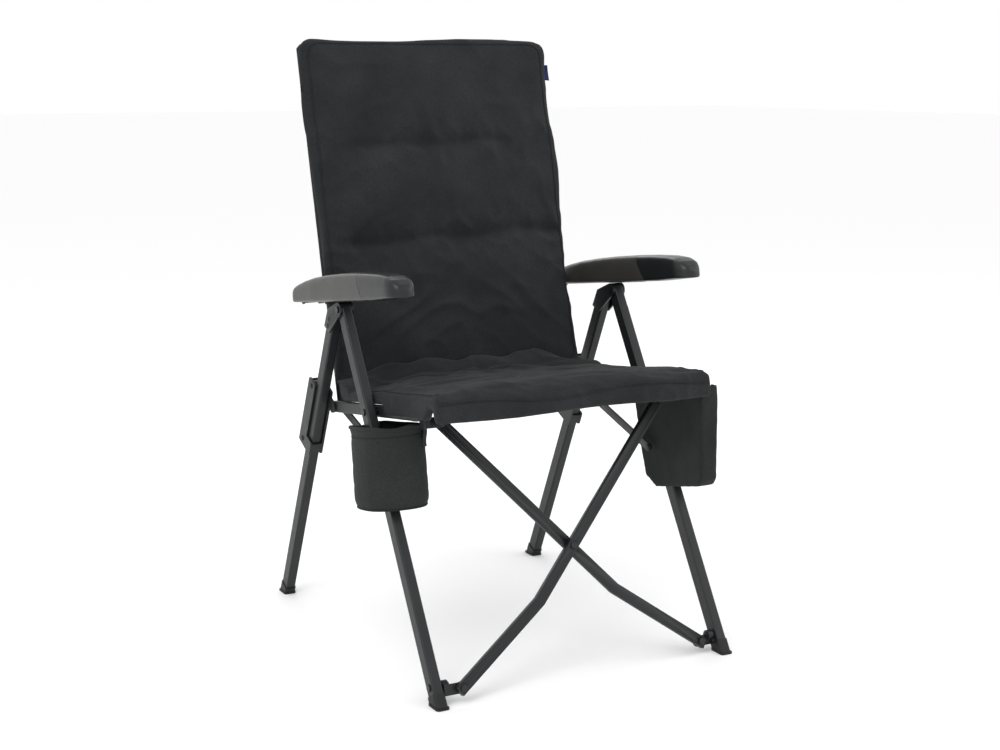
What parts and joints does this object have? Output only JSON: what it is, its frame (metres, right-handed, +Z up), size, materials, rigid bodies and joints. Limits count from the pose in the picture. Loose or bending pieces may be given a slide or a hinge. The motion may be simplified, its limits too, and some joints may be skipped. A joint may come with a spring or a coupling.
{
  "type": "folding reclining camp chair",
  "caption": "High-backed folding camp chair: inverted V side frames, crossed front bars, padded seat and back, moulded armrests, cup holder and side pocket.",
  "frame": {"origin": "on the floor, below the middle of the chair's width and depth", "axes": "+Z up, -Y is the side the sitter's legs hang over (front), +X is the chair's right side as seen from in front"},
  "size_m": [0.72, 0.7914, 1.1752],
  "materials": {
    "frame_paint": "satin",
    "steel": "satin",
    "black_plastic": "matte",
    "grey_plastic": "satin",
    "dark_gloss": "gloss",
    "cloth": "matte",
    "label": "matte"
  },
  "bodies": {
    "front_leg_left": {"front_leg_left": "frame_paint", "front_knuckle_left": "frame_paint", "front_foot_left": "black_plastic", "front_leg_bolts_left": "steel", "cup_holder": "cloth"},
    "rear_leg_left": {"rear_leg_left": "frame_paint", "rear_hub_left": "frame_paint", "rear_foot_left": "black_plastic"},
    "rail_left": {"seat_rail_left": "frame_paint", "rail_lug_left": "frame_paint", "lug_pin_left": "steel", "seat_pad": "cloth"},
    "slider_left": {"slider_left": "frame_paint", "slider_rollers_left": "black_plastic", "slider_pin_left": "steel"},
    "strut_left": {"side_strut_left": "frame_paint"},
    "pole_left": {"back_hinge_left": "black_plastic", "pole_fitting_left": "black_plastic", "back_pole_left": "frame_paint", "pole_cap_left": "black_plastic", "arm_bracket_left": "frame_paint", "back_pad": "cloth", "back_tabs": "label"},
    "armrest_left": {"arm_bush_left": "black_plastic", "armrest_left": "grey_plastic", "armrest_cap_left": "dark_gloss", "armrest_rack_left": "black_plastic"},
    "link_left": {"upper_link_left": "frame_paint"},
    "swivel_left": {"foot_swivel_left": "frame_paint"},
    "front_leg_right": {"front_leg_right": "frame_paint", "front_knuckle_right": "frame_paint", "front_foot_right": "black_plastic", "front_leg_bolts_right": "steel", "side_pocket": "cloth"},
    "rear_leg_right": {"rear_leg_right": "frame_paint", "rear_hub_right": "frame_paint", "rear_foot_right": "black_plastic"},
    "rail_right": {"seat_rail_right": "frame_paint", "rail_lug_right": "frame_paint", "lug_pin_right": "steel"},
    "slider_right": {"slider_right": "frame_paint", "slider_rollers_right": "black_plastic", "slider_pin_right": "steel"},
    "strut_right": {"side_strut_right": "frame_paint"},
    "pole_right": {"back_hinge_right": "black_plastic", "pole_fitting_right": "black_plastic", "back_pole_right": "frame_paint", "pole_cap_right": "black_plastic", "arm_bracket_right": "frame_paint"},
    "armrest_right": {"arm_bush_right": "black_plastic", "armrest_right": "grey_plastic", "armrest_cap_right": "dark_gloss", "armrest_rack_right": "black_plastic"},
    "link_right": {"upper_link_right": "frame_paint"},
    "swivel_right": {"foot_swivel_right": "frame_paint"},
    "bar_b": {"cross_bar_b": "frame_paint", "bar_bolts_b": "steel", "cross_bolt": "steel"},
    "bar_a": {"cross_bar_a": "frame_paint", "bar_bolts_a": "steel"}
  },
  "joints": [
    {"name": "fold", "type": "hinge", "parent": "front_leg_left", "child": "rear_leg_left", "pos_m": [0, 0.02701, 0.6598], "axis": [-1, 0, 0], "range_deg": [0, 51], "deforming": ["seat_pad", "back_pad", "back_tabs", "cup_holder", "side_pocket"]},
    {"name": "rail_turn_left", "type": "hinge", "parent": "front_leg_left", "child": "rail_left", "pos_m": [0, -0.08292, 0.4797], "axis": [-1, 0, 0], "range_deg": [0, 102.2]},
    {"name": "slider_turn_left", "type": "hinge", "parent": "rail_left", "child": "slider_left", "pos_m": [0, 0.12613, 0.45106], "axis": [-1, 0, 0], "range_deg": [-51.2, 0]},
    {"name": "strut_turn_left", "type": "hinge", "parent": "slider_left", "child": "strut_left", "pos_m": [0, 0.12613, 0.45106], "axis": [-1, 0, 0], "range_deg": [-84.31, 0]},
    {"name": "back_turn_left", "type": "hinge", "parent": "slider_left", "child": "pole_left", "pos_m": [0, 0.12613, 0.45106], "axis": [-1, 0, 0], "range_deg": [-40, 0]},
    {"name": "arm_turn_left", "type": "hinge", "parent": "pole_left", "child": "armrest_left", "pos_m": [0, 0.23681, 0.65295], "axis": [-1, 0, 0], "range_deg": [0, 97.3]},
    {"name": "link_turn_left", "type": "hinge", "parent": "rail_left", "child": "link_left", "pos_m": [0, -0.25828, 0.50372], "axis": [-1, 0, 0], "range_deg": [-86.74, 0]},
    {"name": "foot_turn_left", "type": "hinge", "parent": "front_leg_left", "child": "swivel_left", "pos_m": [0, -0.35681, 0.031], "axis": [-1, 0, 0], "range_deg": [0, 15.66]},
    {"name": "bar_b_turn", "type": "hinge", "parent": "swivel_left", "child": "bar_b", "pos_m": [-0.2587, -0.38531, 0.031], "axis": [0, -0.9617, 0.274], "range_deg": [0, 40.55]},
    {"name": "scissor", "type": "hinge", "parent": "bar_b", "child": "bar_a", "pos_m": [0, -0.32504, 0.24258], "axis": [0, -0.9617, 0.274], "range_deg": [-80.91, 0]},
    {"name": "bar_a_turn", "type": "hinge", "parent": "bar_a", "child": "swivel_right", "pos_m": [0.2587, -0.38531, 0.031], "axis": [0, -0.9617, 0.274], "range_deg": [0, 40.55]},
    {"name": "foot_turn_right", "type": "hinge", "parent": "swivel_right", "child": "front_leg_right", "pos_m": [0, -0.35681, 0.031], "axis": [-1, 0, 0], "range_deg": [-15.66, 0]},
    {"name": "hub_turn_right", "type": "hinge", "parent": "front_leg_right", "child": "rear_leg_right", "pos_m": [0, 0.02701, 0.6598], "axis": [-1, 0, 0], "range_deg": [0, 51.2]},
    {"name": "rail_turn_right", "type": "hinge", "parent": "front_leg_right", "child": "rail_right", "pos_m": [0, -0.08292, 0.4797], "axis": [-1, 0, 0], "range_deg": [0, 102.2]},
    {"name": "slider_turn_right", "type": "hinge", "parent": "rail_right", "child": "slider_right", "pos_m": [0, 0.12613, 0.45106], "axis": [-1, 0, 0], "range_deg": [-51.2, 0]},
    {"name": "strut_turn_right", "type": "hinge", "parent": "slider_right", "child": "strut_right", "pos_m": [0, 0.12613, 0.45106], "axis": [-1, 0, 0], "range_deg": [-84.31, 0]},
    {"name": "back_turn_right", "type": "hinge", "parent": "slider_right", "child": "pole_right", "pos_m": [0, 0.12613, 0.45106], "axis": [-1, 0, 0], "range_deg": [-40, 0]},
    {"name": "arm_turn_right", "type": "hinge", "parent": "pole_right", "child": "armrest_right", "pos_m": [0, 0.23681, 0.65295], "axis": [-1, 0, 0], "range_deg": [0, 97.3]},
    {"name": "link_turn_right", "type": "hinge", "parent": "rail_right", "child": "link_right", "pos_m": [0, -0.25828, 0.50372], "axis": [-1, 0, 0], "range_deg": [-86.74, 0]}
  ],
  "couplings": [
    {"joint": "rail_turn_left", "follows": "fold", "ratio": 2},
    {"joint": "slider_turn_left", "follows": "fold", "ratio": -1},
    {"joint": "strut_turn_left", "follows": "fold", "ratio": -1.6492},
    {"joint": "back_turn_left", "follows": "fold", "ratio": -0.78039},
    {"joint": "arm_turn_left", "follows": "fold", "ratio": 1.9039},
    {"joint": "link_turn_left", "follows": "fold", "ratio": -1.6969},
    {"joint": "foot_turn_left", "follows": "fold", "ratio": 0.30306},
    {"joint": "bar_b_turn", "follows": "fold", "ratio": 0.79123},
    {"joint": "scissor", "follows": "fold", "ratio": -1.5825},
    {"joint": "bar_a_turn", "follows": "fold", "ratio": 0.79123},
    {"joint": "foot_turn_right", "follows": "fold", "ratio": -0.30306},
    {"joint": "hub_turn_right", "follows": "fold", "ratio": 1},
    {"joint": "rail_turn_right", "follows": "fold", "ratio": 2},
    {"joint": "slider_turn_right", "follows": "fold", "ratio": -1},
    {"joint": "strut_turn_right", "follows": "fold", "ratio": -1.6492},
    {"joint": "back_turn_right", "follows": "fold", "ratio": -0.78039},
    {"joint": "arm_turn_right", "follows": "fold", "ratio": 1.9039},
    {"joint": "link_turn_right", "follows": "fold", "ratio": -1.6969}
  ]
}
